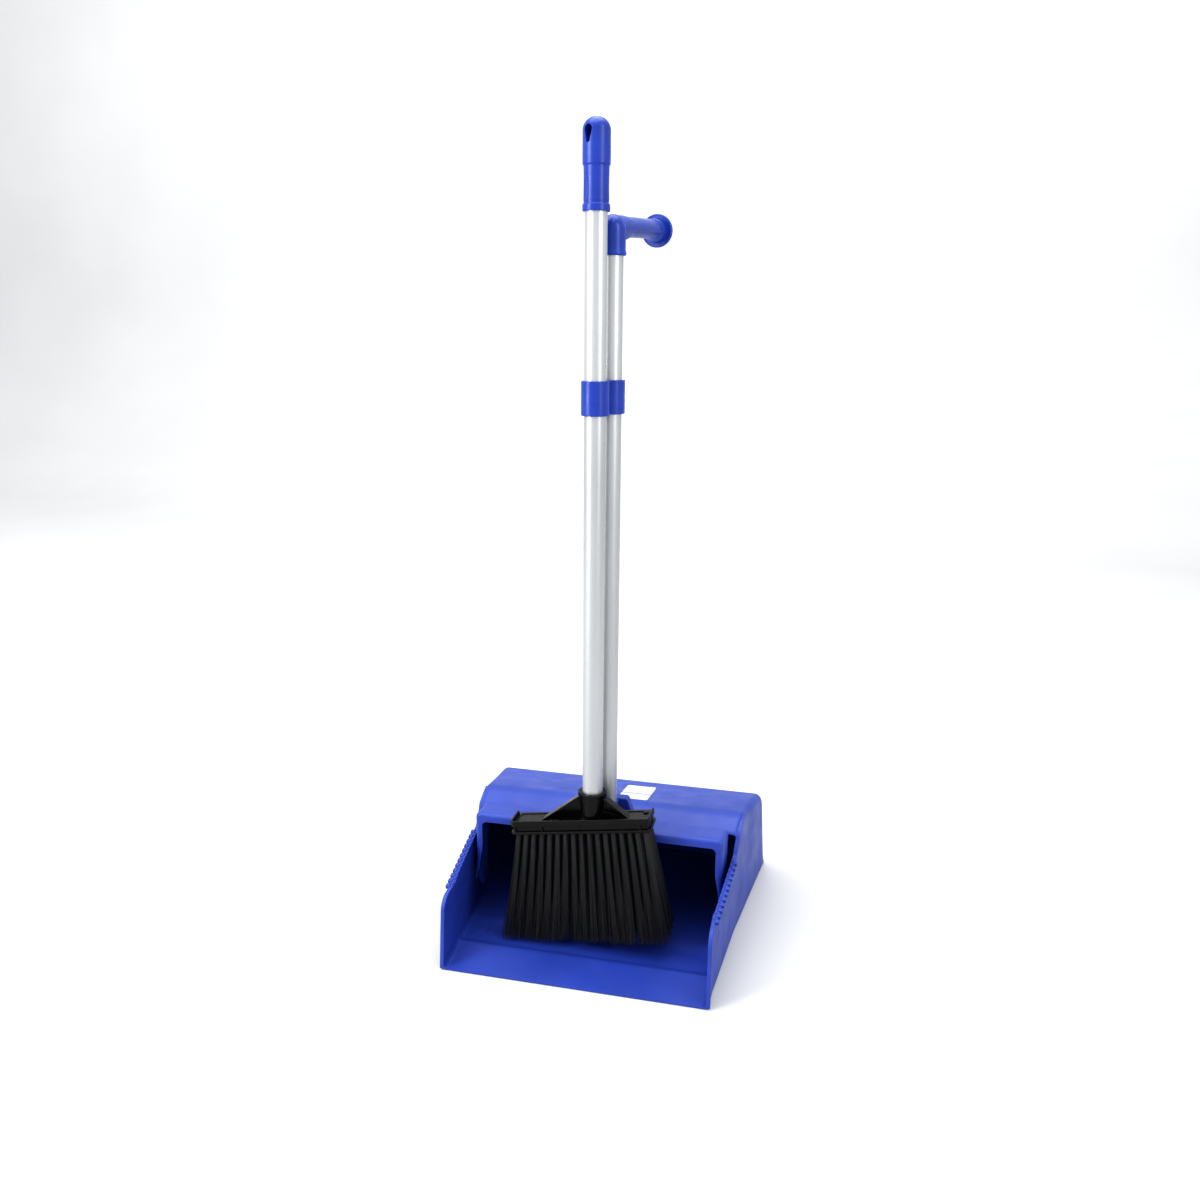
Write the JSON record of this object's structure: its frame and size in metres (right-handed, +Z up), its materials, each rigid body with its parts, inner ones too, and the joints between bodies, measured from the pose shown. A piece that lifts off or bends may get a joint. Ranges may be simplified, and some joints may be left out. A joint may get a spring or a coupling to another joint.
{
  "type": "lobby dust pan and broom set",
  "caption": "Upright lobby dust pan with an open-fronted bin, a hinged hood carrying a tall tube handle, and a long-handled broom clipped beside it.",
  "frame": {"origin": "on the floor, below the middle of the box round the whole set", "axes": "+Z up along the tubes, mouth of the pan towards -Y, bin towards +Y, +X to the right seen from the mouth"},
  "size_m": [0.35, 0.326, 0.8655],
  "materials": {
    "blue_pan_plastic": "injection moulded, smooth and glossy, faint flow lines",
    "blue_fitting_plastic": "injection moulded, glossy with soft edges",
    "label_paper": "blank printed label stock, satin",
    "tube_aluminium": "drawn tube, satin anodised",
    "screw_steel": "zinc plated",
    "black_block_plastic": "injection moulded, semi-gloss",
    "bristle_filament": "synthetic filament, soft, flagged at the tips"
  },
  "bodies": {
    "pan": {"pan_body": "blue_pan_plastic", "roof_label": "label_paper"},
    "yoke": {"hood_yoke": "blue_pan_plastic", "pivot_pin_left": "screw_steel", "pivot_pin_right": "screw_steel", "pan_tube": "tube_aluminium", "boss_screw": "screw_steel", "handle_elbow": "blue_fitting_plastic", "elbow_screw": "screw_steel", "pan_grip": "blue_fitting_plastic", "grip_end_cap": "blue_fitting_plastic"},
    "broom": {"tube_clip": "blue_fitting_plastic", "broom_tube": "tube_aluminium", "broom_hand_grip": "blue_fitting_plastic", "broom_block": "black_block_plastic", "socket_screw": "screw_steel", "tuft_anchors": "screw_steel", "tufts_front_row": "bristle_filament", "tufts_second_row": "bristle_filament", "tufts_third_row": "bristle_filament", "tufts_rear_row": "bristle_filament"}
  },
  "joints": [
    {"name": "hood_hinge", "type": "hinge", "parent": "pan", "child": "yoke", "pos_m": [0, -0.031, 0.044], "axis": [1, 0, 0], "range_deg": [-8, 60], "deforming": ["tufts_front_row", "tufts_second_row", "tufts_third_row", "tufts_rear_row"]},
    {"name": "broom_lift_off", "type": "slide", "parent": "yoke", "child": "broom", "axis": [0, -1, 0], "range_m": [0, 0.2]}
  ]
}
